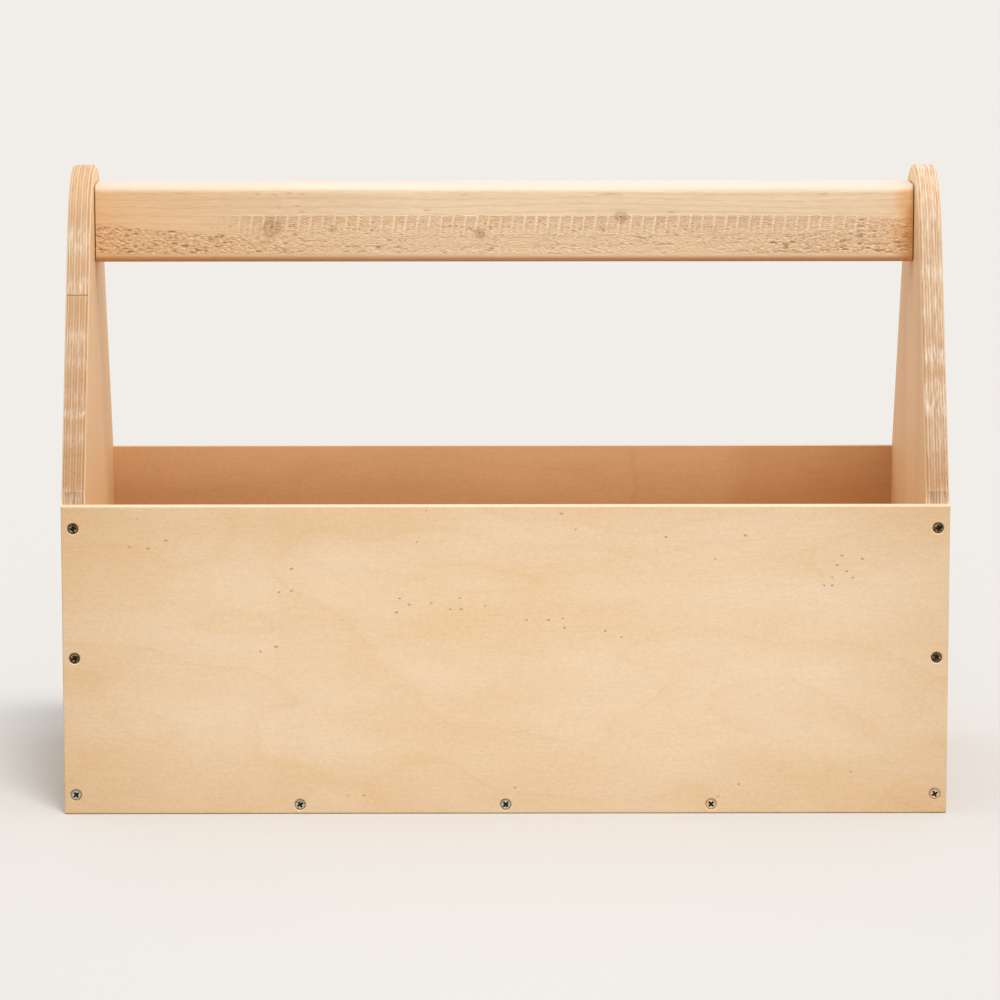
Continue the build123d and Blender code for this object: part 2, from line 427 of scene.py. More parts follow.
def panel_plywood(name, colour, warm, strips, rows, outside=None):
    """Three-ply birch sheet, sanded: pale and matt, with the grain level. Strips that run up it and
    rows that run along it say where it is darkened, with age and with painted shade. Its top edge
    carries a painted highlight. Two outside colours, where they are given, are those of the outer
    face's own veneer."""
    material, tree, shader = matt_shader(name, 0.6)
    space = board_space(tree, "X", "Z", "Y")
    face = veneer(tree, space, colour, warm)
    ripple = add(tree, "Math", {
        0: streaks(tree, space, 60, 30, 400, 2.0, 6.1), 1: 16.0, 2: -8.0}, operation="MULTIPLY_ADD")
    moved = add(tree, "CombineXYZ", {0: ripple, 1: ripple})
    axes = add(tree, "SeparateXYZ", {0: add(tree, "VectorMath", {0: space, 1: moved})})
    along = bands(tree, axes.outputs["X"], 2 * END_FACE, strips)
    up = bands(tree, axes.outputs["Y"], 2 * END_FACE, rows)
    # The strips and rows darken the veneer: painted shade on the front and at the back's foot, and the
    # back's own joint and darker veneer.
    age_and_shade = add(tree, "Math", {0: along, 1: up}, operation="ADD", use_clamp=True)
    face_with_age_and_shade = add(tree, "VectorMath", {0: face, 1: AGE_AND_SHADE}, operation="MULTIPLY")
    whole = add(tree, "Mix", {"Factor": age_and_shade, "A": face, "B": face_with_age_and_shade})
    if outside:
        off_middle = add(tree, "Math", {0: axes.outputs["Z"]}, operation="ABSOLUTE")
        skin_start = LONG_FACE - BACK_VENEER
        skin = add(tree, "MapRange", {
            0: off_middle, "From Min": skin_start, "From Max": skin_start + 0.2})
        whole = add(tree, "Mix", {"Factor": skin, "A": whole, "B": veneer(tree, space, *outside)})
    # Painted highlight: the top edge paler, as lit from above.
    top = add(tree, "MapRange", {
        0: add(tree, "SeparateXYZ", {0: space}).outputs["Y"],
        "From Min": PANEL_TOP - HIGHLIGHT_RIM, "From Max": PANEL_TOP, "To Max": 0.7})
    rim_highlighted = add(tree, "Mix", {"Factor": top, "A": whole, "B": srgb(RIM_HIGHLIGHT_COLOUR)})
    tree.links.new(rim_highlighted.outputs[2], shader.inputs["Base Color"])
    grain_bump(tree, shader, streaks(tree, space, 5, 0.9, 100, 3.0), 0.3)
    return material


def bottom_plywood(name, colour, warm):
    """Birch plywood bottom: the same matt veneer, with the grain along the tote."""
    material, tree, shader = matt_shader(name, 0.62)
    space = board_space(tree, "X", "Y", "Z")
    face = veneer(tree, space, colour, warm)
    tree.links.new(face.outputs[0], shader.inputs["Base Color"])
    grain_bump(tree, shader, streaks(tree, space, 14, 0.9, 100, 3.0), 0.25)
    return material


def gable_face(tree, space, look):
    """The inner face of an end: broad figure, clouds of redder heartwood, and a warmer foot, partly age
    and partly painted shade with warm bounce from inside.
    """
    broad = add(tree, "VectorMath", {0: space, 1: (1.0, 0.4, 1.0)}, operation="MULTIPLY")
    plain = veneer(tree, broad, look.gable_colour, scaled(look.gable_colour, 0.97))
    heart = add(tree, "MapRange", {
        0: streaks(tree, space, 900, 75, 400, 1.0, 17.0), "From Min": 0.42, "From Max": 0.7,
        "To Max": 0.5})
    hearted = add(tree, "Mix", {"Factor": heart, "A": plain, "B": srgb(HEART_COLOUR)})
    # Warmer towards the foot: partly age, partly painted shade and bounce.
    foot = add(tree, "MapRange", {
        0: add(tree, "SeparateXYZ", {0: space}).outputs["X"],
        "From Min": 330.0, "From Max": 215.0, "To Max": 0.6})
    return add(tree, "Mix", {"Factor": foot, "A": hearted, "B": srgb(FOOT_AGE_AND_SHADE_COLOUR)})


def ply_lines(tree, space, depth):
    """The pale lines between plies on the routed edge, as a pattern from 0 to 1: they wander."""
    wander = add(tree, "Math", {
        0: streaks(tree, space, 60, 60, 400, 2.0), 1: 0.5, 2: -0.25}, operation="MULTIPLY_ADD")
    moved = add(tree, "Math", {0: depth, 1: wander}, operation="ADD")
    place = add(tree, "Math", {0: moved, 1: gable_thickness}, operation="DIVIDE")
    stops = []
    for line, strength in PLY_LINES:
        stops += [((line - 0.6) / gable_thickness, (0, 0, 0, 1)),
                  (line / gable_thickness, (strength, strength, strength, 1)),
                  ((line + 0.5) / gable_thickness, (0, 0, 0, 1))]
    return add(tree, "ValToRGB", {0: place}, stops)


def weathered_and_shaded(tree, space, height, lines, edge, filler, stain):
    """The routed edge: darker towards the foot with painted shade, and as use left it, with brown
    stain, open pores and smears of pale filler, these two drawn out along the plies."""
    uneven = add(tree, "Math", {
        0: streaks(tree, space, 7, 9, 2.5, 2.0, 9.0), 1: 10.0, 2: -5.0}, operation="MULTIPLY_ADD")
    level = add(tree, "Math", {0: height, 1: uneven}, operation="ADD")
    plied = add(tree, "Math", {0: lines, 1: 0.16}, operation="MULTIPLY")
    smears = add(tree, "MapRange", {
        0: add(tree, "Math", {0: streaks(tree, space, 9, 12, 0.9, 1.0, 2.0), 1: plied}),
        "From Min": 0.38, "From Max": 0.74, "To Min": 0.04, "To Max": 0.75})
    filled = add(tree, "Math", {
        0: bands(tree, level, EDGE_SPAN, filler), 1: smears}, operation="MULTIPLY")
    soaked = add(tree, "MapRange", {0: lines, "To Min": 0.8, "To Max": 0.3})
    stained = add(tree, "Math", {
        0: bands(tree, level, EDGE_SPAN, stain), 1: soaked}, operation="MULTIPLY")
    # Painted shade: the edge darker towards the foot.
    darker = add(tree, "MapRange", {
        0: height, "From Min": 200.0, "From Max": 400.0, "To Min": 0.69, "To Max": 0.86})
    graded = add(tree, "VectorMath", {0: edge, "Scale": darker}, operation="SCALE")
    brown = add(tree, "Mix", {"Factor": stained, "A": graded, "B": srgb(STAIN_COLOUR)})
    open_pores = add(tree, "MapRange", {
        0: height, "From Min": 200.0, "From Max": 330.0, "To Min": 0.6, "To Max": 0.2})
    pores = add(tree, "MapRange", {
        0: streaks(tree, space, 2.2, 2.2, 0.7, 1.0, 6.0), "From Min": 0.56, "From Max": 0.7,
        "To Max": open_pores})
    pored = add(tree, "Mix", {"Factor": pores, "A": brown, "B": srgb(PORE_COLOUR)})
    return add(tree, "Mix", {"Factor": filled, "A": pored, "B": srgb(FILLER_COLOUR)})


def glue_line(tree, space, height, edge, strength):
    """The edge with a thin dark glue line across it, slightly crooked."""
    crooked = add(tree, "Math", {0: height, 1: streaks(tree, space, 9, 9, 3, 1.0, 8.0)})
    off_line = add(tree, "Math", {0: crooked, 1: GLUE_HEIGHT + 0.5}, operation="SUBTRACT")
    line = add(tree, "MapRange", {
        0: add(tree, "Math", {0: off_line}, operation="ABSOLUTE"),
        "From Min": 0.15, "From Max": 0.6, "To Min": strength, "To Max": 0.0})
    return add(tree, "Mix", {"Factor": line, "A": edge, "B": srgb(GLUE_COLOUR)})


def gable_plywood(name, look, filler, stain, glued):
    """Nine-ply birch, sanded and matt: a veneered face to each side, and on the routed edge the
    plies, as pale lines between redder cores. Glued, from 0 to 1, is how dark its glue line is."""
    material, tree, shader = matt_shader(name, 0.6)
    space = board_space(tree, "Z", "Y", "X")
    axes = add(tree, "SeparateXYZ", {0: space})
    off_middle = add(tree, "Math", {0: axes.outputs["Z"]}, operation="ABSOLUTE")
    depth = add(tree, "Math", {0: END_FACE, 1: off_middle}, operation="SUBTRACT")
    lines = ply_lines(tree, space, depth)
    plies = add(tree, "Mix", {"Factor": lines, "A": look.core_colour, "B": look.pale_colour})
    fibre = streaks(tree, space, 14, 14, 0.4, 2.0)
    edge = tint(tree, plies, fibre, 0.95, 1.05)
    worn_and_painted_light = weathered_and_shaded(tree, space, axes.outputs["X"], lines, edge, filler, stain)
    split = glue_line(tree, space, axes.outputs["X"], worn_and_painted_light, glued)
    inward = add(tree, "Math", {0: depth, 1: gable_thickness}, operation="DIVIDE")
    skin = add(tree, "ValToRGB", {0: inward}, [
        (0.0, (1, 1, 1, 1)), (0.04, (1, 1, 1, 1)), (0.07, (0, 0, 0, 1)),
        (0.94, (0, 0, 0, 1)), (0.97, (1, 1, 1, 1))])
    whole = add(tree, "Mix", {"Factor": skin, "A": split, "B": gable_face(tree, space, look)})
    outer = add(tree, "MapRange", {0: depth, "From Min": GABLE_VENEER, "From Max": GABLE_VENEER - 0.5})
    finished = add(tree, "Mix", {
        "Factor": outer, "A": whole,
        "B": veneer(tree, space, look.face_colour, look.warm_colour)})
    tree.links.new(finished.outputs[2], shader.inputs["Base Color"])
    grain_bump(tree, shader, fibre, 0.3)
    return material


def planed(tree, space, look):
    """Planed spruce: growth lines that bend along the board, warmer to the left, in fine fibres."""
    axes = add(tree, "SeparateXYZ", {0: space})
    bend = add(tree, "Math", {
        0: streaks(tree, space, 260, 40, 60, 2.0, 2.1), 1: 16.0}, operation="MULTIPLY")
    level = add(tree, "Math", {0: axes.outputs["Y"], 1: bend})
    rings = add(tree, "Math", {
        0: add(tree, "Math", {0: level, 1: 1.3}, operation="MULTIPLY")}, operation="SINE")
    growth = add(tree, "MapRange", {0: rings, "From Min": 0.3, "To Max": 0.24})
    warmth = add(tree, "MapRange", {
        0: axes.outputs["X"], "From Min": WARM_END[0], "From Max": WARM_END[1], "To Max": 0.55})
    ground = add(tree, "Mix", {"Factor": warmth, "A": look.rail_colour, "B": look.late_colour})
    wood = add(tree, "Mix", {"Factor": growth, "A": ground, "B": look.late_colour})
    shade = tint(tree, wood, streaks(tree, space, 120, 14, 40, 3.0, 8.0), 0.955, 1.045)
    return tint(tree, shade, streaks(tree, space, 9, 0.9, 2.0, 3.0), 0.93, 1.07)


def shade_and_wear_on_rail(tree, space, colour, look):
    """The rail's wood with painted light and some wear: painted shade, darker and warmer, at its foot
    under the rounding and at its right end where the gable shades it, and a greyer painted highlight
    along its top, with wear from hands and dust."""
    axes = add(tree, "SeparateXYZ", {0: space})
    # Painted shade under the foot's rounding.
    foot = add(tree, "MapRange", {
        0: axes.outputs["Y"], "From Min": SHADED_FOOT[0], "From Max": SHADED_FOOT[1],
        "To Max": 0.55})
    uneven = add(tree, "Math", {
        0: streaks(tree, space, 8, 5, 8, 2.0, 31.0), 1: 16.0}, operation="MULTIPLY")
    # Painted shade at the right end, where the gable shades it.
    end = add(tree, "MapRange", {
        0: add(tree, "Math", {0: axes.outputs["X"], 1: uneven}),
        "From Min": SHADED_END[0], "From Max": SHADED_END[1], "To Max": 0.85})
    painted_shade_amount = add(tree, "Math", {0: foot, 1: end}, operation="MAXIMUM")
    shaded = add(tree, "Mix", {"Factor": painted_shade_amount, "A": colour, "B": look.rail_shade_colour})
    # Painted highlight along the top, greyer with some wear.
    top = add(tree, "MapRange", {
        0: axes.outputs["Y"], "From Min": LIT_WORN_TOP[0], "From Max": LIT_WORN_TOP[1], "To Max": 0.75})
    return add(tree, "Mix", {"Factor": top, "A": shaded, "B": srgb(LIT_WORN_COLOUR)})


def softwood(name, look):
    """Planed and part-sawn spruce: pale and half matt with warm growth lines, and where it is sawn
    rough with lifted and ripped fibres, which the rail's mesh tells by its attributes: a painted
    highlight on the lifted fibre, and ripped fibre darkened with painted shadow in the saw marks'
    grooves and cells."""
    material, tree, shader = matt_shader(name, 0.55)
    space = board_space(tree, "X", "Z", "Y")
    sawn, pale, torn = [
        add(tree, "Attribute", attribute_name=layer).outputs["Fac"] for layer in RAIL_LAYERS]
    roughness = add(tree, "Math", {0: sawn, 1: 0.4}, operation="MULTIPLY")
    rough = add(tree, "Mix", {
        "Factor": roughness, "A": planed(tree, space, look), "B": look.late_colour})
    # Ripped fibre and the painted shadow of the saw marks take the knots' colour; the painted highlight
    # on lifted fibre is near white.
    torn_and_shaded_wood = add(tree, "Mix", {"Factor": torn, "A": rough, "B": look.knot_colour})
    lit_fibre = add(tree, "Mix", {"Factor": pale, "A": torn_and_shaded_wood, "B": srgb(FIBRE_HIGHLIGHT_COLOUR)})
    colour = shade_and_wear_on_rail(tree, space, lit_fibre, look)
    for across, up, radius in RAIL_KNOTS:
        spot = add(tree, "VectorMath", {
            0: space, 1: (across, up, rail_low.y / MM)}, operation="DISTANCE")
        ripple = add(tree, "Math", {
            0: streaks(tree, space, 5, 4, 4, 3.0, up), 1: 1.3 * radius, 2: -0.62 * radius},
            operation="MULTIPLY_ADD")
        reach = add(tree, "Math", {
            0: add(tree, "Math", {0: spot.outputs["Value"], 1: ripple}), 1: 1.9 * radius},
            operation="DIVIDE")
        ring = add(tree, "ValToRGB", {0: reach}, [
            (place, (shade, shade, shade, 1)) for place, shade in KNOT_RINGS])
        colour = add(tree, "Mix", {"Factor": ring.outputs[0], "A": colour, "B": look.knot_colour})
    tree.links.new(colour.outputs[2], shader.inputs["Base Color"])
    fine = streaks(tree, space, 1.8, 0.9, 0.9, 2.0, 4.0)
    depth = add(tree, "Math", {0: sawn, 1: 1.0, 2: 0.06}, operation="MULTIPLY_ADD")
    height = add(tree, "Math", {0: fine, 1: depth}, operation="MULTIPLY")
    grain_bump(tree, shader, height, 1.0, 0.7 * MM)
    return material


def zinc(name, colour, roughness, wear):
    """Zinc-plated steel, cold headed: a soft metal sheen, scuffed by the driver, tarnished in spots,
    and with painted glints between them. Wear, from 0 to 1, is how dark the tarnished spots are."""
    material = bpy.data.materials.new(name)
    material.use_nodes = True
    tree = material.node_tree
    shader = tree.nodes["Principled BSDF"]
    shader.inputs["Metallic"].default_value = 1.0
    shader.inputs["Roughness"].default_value = roughness
    space = board_space(tree, "X", "Z", "Y")
    scuffs = streaks(tree, space, 1.1, 1.1, 1.1, 2.0, 3.3)
    # Tarnish darkens some spots; painted glints lighten others a little.
    spots = add(tree, "MapRange", {
        0: scuffs, "From Min": 0.4, "From Max": 0.58, "To Min": 1.0 - wear, "To Max": 1.12})
    worn_and_painted_light = add(tree, "VectorMath", {0: colour[:3], "Scale": spots}, operation="SCALE")
    tree.links.new(worn_and_painted_light.outputs[0], shader.inputs["Base Color"])
    grain_bump(tree, shader, scuffs, 0.3, 0.05 * MM)
    return material


def pin_knot(name, colour):
    """The heart of a pin knot in birch: matt and brown, darker and lighter along the grain."""
    material, tree, shader = matt_shader(name, 0.6)
    space = board_space(tree, "X", "Z", "Y")
    heart = tint(tree, colour[:3], streaks(tree, space, 1.8, 0.5, 1.0), 0.78, 1.12)
    tree.links.new(heart.outputs[0], shader.inputs["Base Color"])
    grain_bump(tree, shader, streaks(tree, space, 0.8, 0.3, 0.5), 0.3, 0.05 * MM)
    return material


def recess_shade(name):
    """Painted shade in the cross recesses and in the darkened heads' rims: nearly black and matt."""
    material, tree, shader = matt_shader(name, 0.8)
    space = board_space(tree, "X", "Z", "Y")
    dust = tint(tree, srgb(RECESS_SHADE_COLOUR)[:3], streaks(tree, space, 0.6, 0.6, 0.6), 0.6, 1.5)
    tree.links.new(dust.outputs[0], shader.inputs["Base Color"])
    return material


def as_object(name, shape, materials):
    """Turns a finished bmesh into an object with these materials."""
    mesh = bpy.data.meshes.new(name)
    shape.to_mesh(mesh)
    shape.free()
    for material in materials:
        mesh.materials.append(material)
    item = bpy.data.objects.new(name, mesh)
    bpy.context.collection.objects.link(item)
    return item


def place_piece(name, shape, slot, *materials):
    """Turns a finished bmesh into a piece that rides on the tote."""
    piece = as_object(name, shape, materials)
    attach(piece, BODY)
    return piece


def paint(node, material):
    """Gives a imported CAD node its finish."""
    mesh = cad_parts[node].data
    mesh.materials.clear()
    mesh.materials.append(material)


class TOTE_OT_gable_ends(bpy.types.Operator):
    """Finishes the two gable ends in nine-ply birch"""

    bl_idname = "tote.gable_ends"
    bl_label = "Gable ends"

    def execute(self, context):
        look = context.scene.tote_wood
        paint("end_panel_left", gable_plywood(
            "nine_ply_birch_left", look, LEFT_FILLER, LEFT_STAIN, GLUE_STRENGTH))
        paint("end_panel_right", gable_plywood(
            "nine_ply_birch_right", look, RIGHT_FILLER, RIGHT_STAIN, 0.0))
        return {"FINISHED"}


class TOTE_OT_panels(bpy.types.Operator):
    """Finishes the front and back panels and the bottom"""

    bl_idname = "tote.panels"
    bl_label = "Panels and bottom"

    def execute(self, context):
        look = context.scene.tote_wood
        outside = (look.face_colour, look.warm_colour)
        inside = look.inside_colour
        paint("front_panel", panel_plywood(
            "three_ply_birch_front", *outside, FRONT_SHADE_STRIPS, FRONT_SHADE_ROWS))
        paint("back_panel", panel_plywood(
            "three_ply_birch_back", inside, scaled(inside, 0.9), BACK_STRIPS, BACK_SHADE_ROWS, outside))
        # The bottom is darker than the inside veneer: painted shade inside the box.
        paint("bottom_board", bottom_plywood(
            "birch_bottom", scaled(inside, 0.8), scaled(inside, 0.7)))
        return {"FINISHED"}


class TOTE_OT_pin_knots(bpy.types.Operator):
    """Sets the small brown pin knots in the front panel's face"""

    bl_idname = "tote.pin_knots"
    bl_label = "Pin knots"

    def execute(self, context):
        shape = bmesh.new()
        for across, up in PIN_KNOTS:
            wide = 0.75 + 0.6 * noise.random()
            tilt = Matrix.Rotation(noise.random() - 0.5, 4, "Y")
            place = Matrix.Translation((across * MM, front_low.y, up * MM))
            size = Matrix.Diagonal((wide * MM, PIN_PROUD * MM, 0.6 * wide * MM, 1.0))
            bmesh.ops.create_uvsphere(
                shape, u_segments=8, v_segments=4, radius=1.0, matrix=place @ tilt @ size)
        place_piece(
            "front_pin_knots", shape, "panel_plywood",
            pin_knot("birch_pin_knot", context.scene.tote_wood.pin_colour))
        return {"FINISHED"}


class TOTE_OT_rail(bpy.types.Operator):
    """Builds the handle rail with its sawn band"""

    bl_idname = "tote.rail"
    bl_label = "Handle rail"

    def execute(self, context):
        form = context.scene.tote_rail
        low = rail_low + Vector((form.end_gap, 0.0, 0.0))
        high = rail_high - Vector((form.end_gap, 0.0, 0.0))
        shape = bmesh.new()
        bmesh.ops.create_cube(shape, size=1.0)
        bmesh.ops.scale(shape, vec=high - low, verts=shape.verts)
        bmesh.ops.translate(shape, vec=(high + low) / 2, verts=shape.verts)
        bmesh.ops.bevel(
            shape, geom=self.edges_along(shape), offset=form.roundover, segments=6,
            profile=0.5, affect="EDGES", material=-1)
        cuts = round((high.x - low.x) / form.mesh_step) - 1
        bmesh.ops.subdivide_edges(
            shape, edges=self.edges_along(shape), cuts=cuts, use_grid_fill=True)
        front = low.y + 0.01 * MM
        upright = [e for e in shape.edges if all(v.co.y < front for v in e.verts)
                   and abs(e.verts[0].co.z - e.verts[1].co.z) > 10 * MM]
        rows = round((high.z - low.z - 2 * form.roundover) / form.mesh_step) - 1
        bmesh.ops.subdivide_edges(shape, edges=upright, cuts=rows, use_grid_fill=True)
        layers = [shape.verts.layers.float.new(name) for name in RAIL_LAYERS]
        pitch = form.saw_pitch / MM
        for vert in shape.verts:
            if vert.co.y < front:
                sawn, pale, torn = self.surface(vert.co.x / MM, vert.co.z / MM, pitch)
                for layer, value in zip(layers, (sawn, pale, torn)):
                    vert[layer] = value
                vert.co.y += form.saw_depth * sawn * max(0.0, 0.6 + 1.1 * torn - 0.6 * pale)
        for face in shape.faces:
            face.smooth = True
        piece = place_piece(
            "sawn_rail", shape, "handle_softwood",
            softwood("part_sawn_spruce", context.scene.tote_wood))
        piece.data.set_sharp_from_angle(angle=math.radians(60))
        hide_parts("handle_rail")
        return {"FINISHED"}

    def edges_along(self, shape):
        """The edges that run the length of the rail."""
        return [e for e in shape.edges if abs(e.verts[0].co.x - e.verts[1].co.x) > 100 * MM]

    def surface(self, x, z, pitch):
        """How sawn the face is, how pale with a painted highlight on lifted fibre and painted glints,
        and how much it is darkened by ripped fibre and by painted shadow in the saw marks' grooves and
        cells, each from 0 to 1, at a place in millimetres; pitch is the distance between saw marks."""
        comb = clamp((x - COMB_LEFT) / 40) * clamp((COMB_RIGHT - x) / 50)
        below = COMB_TOP + 0.7 * noise.noise(Vector((x / 9, 3.0, 0.0))) - z
        torn_below = self.torn_border(x) - z
        ragged = clamp(torn_below / 0.7)
        sawn = max(0.75 * clamp(below / 0.7) * comb, ragged) * clamp((z - SAWN_FOOT) / 1.5)
        if sawn == 0.0:
            tear = 0.35 * self.small_tears(x, z)
            return tear, 0.0, tear
        number, phase = divmod((x - SAW_SLANT * z) / pitch, 1.0)
        luck = [0.5 + 0.5 * noise.noise(Vector((number * 7.3, k, 0.5))) for k in (1.0, 5.0, 9.0)]
        kept = clamp((9.0 + 10.0 * luck[2] - below) / 6)
        pale = comb * self.fibre_highlights(phase, pitch, below, kept, luck)
        grooved = comb * self.grooves(phase, pitch, below, kept, luck)

        fleck = noise.fractal(Vector((x / 2.4, z / 1.5, 0.0)), 0.8, 2.0, 2)
        drawn = noise.fractal(Vector((x / 6.0, z / 1.2, 4.0)), 0.8, 2.0, 2)
        speck = noise.noise(Vector((x / 1.3, z / 1.6, 6.0)))
        patch = 0.5 + 0.9 * noise.noise(Vector((x / 22, z / 7, 8.0)))
        rough = 0.8 * max(ragged, clamp((below - 9) / 4) * comb) * clamp(patch + 0.1)
        flecks = clamp((fleck - 0.1) / 0.6) * max(clamp(torn_below / 1.5), rough)
        tears = clamp((drawn - 0.2) / 0.35) * clamp(patch * (0.8 + abs(x - 20) / 260))
        tears *= clamp((below - 5) / 3)
        specks = clamp((speck - 0.25) / 0.3) * clamp(1.2 - abs(below - 6.5) / 5)
        specks *= comb * clamp(patch + 0.2)
        # Painted glints: pale flecks in the rough parts, as if they caught the light.
        glints = clamp((-fleck - 0.15) / 0.45) * max(0.45 * ragged, 0.8 * rough)
        lit_fibre = clamp(sawn * max((0.6 + luck[0]) * pale, glints))
        torn = clamp(max(grooved, 0.46 * flecks, 0.9 * tears, 1.1 * specks))
        return sawn, lit_fibre, sawn * torn * (1 - 0.8 * pale)

    def fibre_highlights(self, phase, pitch, below, kept, luck):
        """Painted highlight on the saw marks: a pale line at each stroke where lifted fibre catches the
        light, a fainter one between, and a lit lip above.
        """
        line = peak(min(phase, 1.0 - phase) * pitch, 0.65) * kept * (0.5 + 0.7 * luck[0])
        half = peak((phase - 0.5) * pitch, 0.6) * clamp((below - 6) / 2)
        half *= clamp((18 - below) / 5) * 0.7 * luck[1]
        lip = peak(below - 0.6, 0.6) * (0.3 + 0.6 * luck[2])
        return 0.85 * max(line, half, lip)

    def grooves(self, phase, pitch, below, kept, luck):
        """Painted shadow: a dark line in the groove beside each saw mark, and shade in the shallow cell
        under the lip that follows it.
        """
        groove = peak((phase - 0.16) * pitch, 0.45) * kept
        groove *= clamp(below - 0.5) * (0.15 + 0.5 * luck[1])
        cell = clamp((below - 1.0) / 0.8) * clamp((7 - below) / 3) * (0.2 + 0.8 * luck[1])
        cell *= clamp((phase - 0.15) / 0.25) * clamp((0.95 - phase) / 0.1)
        return max(groove, 0.3 * cell)

    def small_tears(self, x, z):
        """The small tears in the planed part of the face, from 0 to 1."""
        return clamp(max(
            1 - ((x - across) / long) ** 2 - ((z - up - 0.04 * (x - across)) / 0.6) ** 2
            + noise.noise(Vector((x, z, 2.0))) for across, up, long in RAIL_TEARS))

    def torn_border(self, x):
        """Height below which the saw tore the fibres, in millimetres: it falls to the right of
        the left end, and rises again under the last saw marks."""
        falling = 364.5 - 0.085 * (x + 265) - 0.13 * max(0.0, x + 170)
        rising = SAWN_FOOT + 24.0 * clamp((x - 140) / 90)
        return max(falling, rising) + 0.6 * noise.noise(Vector((x / 7, 9.0, 0)))


def clamp(value):
    """The value, held between 0 and 1."""
    return max(0.0, min(1.0, value))


def peak(distance, width):
    """A smooth peak: 1 where the distance is nought, and almost gone at twice the width."""
    return math.exp(-(distance / width) ** 2)


def loose_boxes(node):
    """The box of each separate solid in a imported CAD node: from the lowest up, then from the left,
    then from the back, so that the order is the same in every run."""
    shape = bmesh.new()
    shape.from_mesh(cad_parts[node].data)
    bmesh.ops.remove_doubles(shape, verts=shape.verts, dist=0.001 * MM)
    left, boxes = set(shape.verts), []
    while left:
        reached, front = set(), [left.pop()]
        while front:
            vert = front.pop()
            reached.add(vert)
            for edge in vert.link_edges:
                other = edge.other_vert(vert)
                if other in left:
                    left.remove(other)
                    front.append(other)
        places = [v.co for v in reached]
        boxes.append((Vector(min(c) for c in zip(*places)), Vector(max(c) for c in zip(*places))))
    shape.free()
    return sorted(boxes, key=lambda box: (round(box[0].z, 4), round(box[0].x, 4), -box[0].y))


# How each front screw was driven: its turn in degrees, how far it is sunk in millimetres, and
# which finish it has. Each row goes from the lowest up, or from the left.
DRIVEN = {
    "front_left_screws": ((38, 0.1, PLATED), (20, 0.5, DARKENED), (4, 0.5, DARKENED)),
    "front_right_screws": ((30, 0.1, WOOD_REFLECTING), (50, 0.5, DARKENED), (2, 0.5, DARKENED)),
    "front_bottom_screws": ((28, 0.3, PLATED), (42, 0.2, PLATED), (46, 0.3, WOOD_REFLECTING)),
}


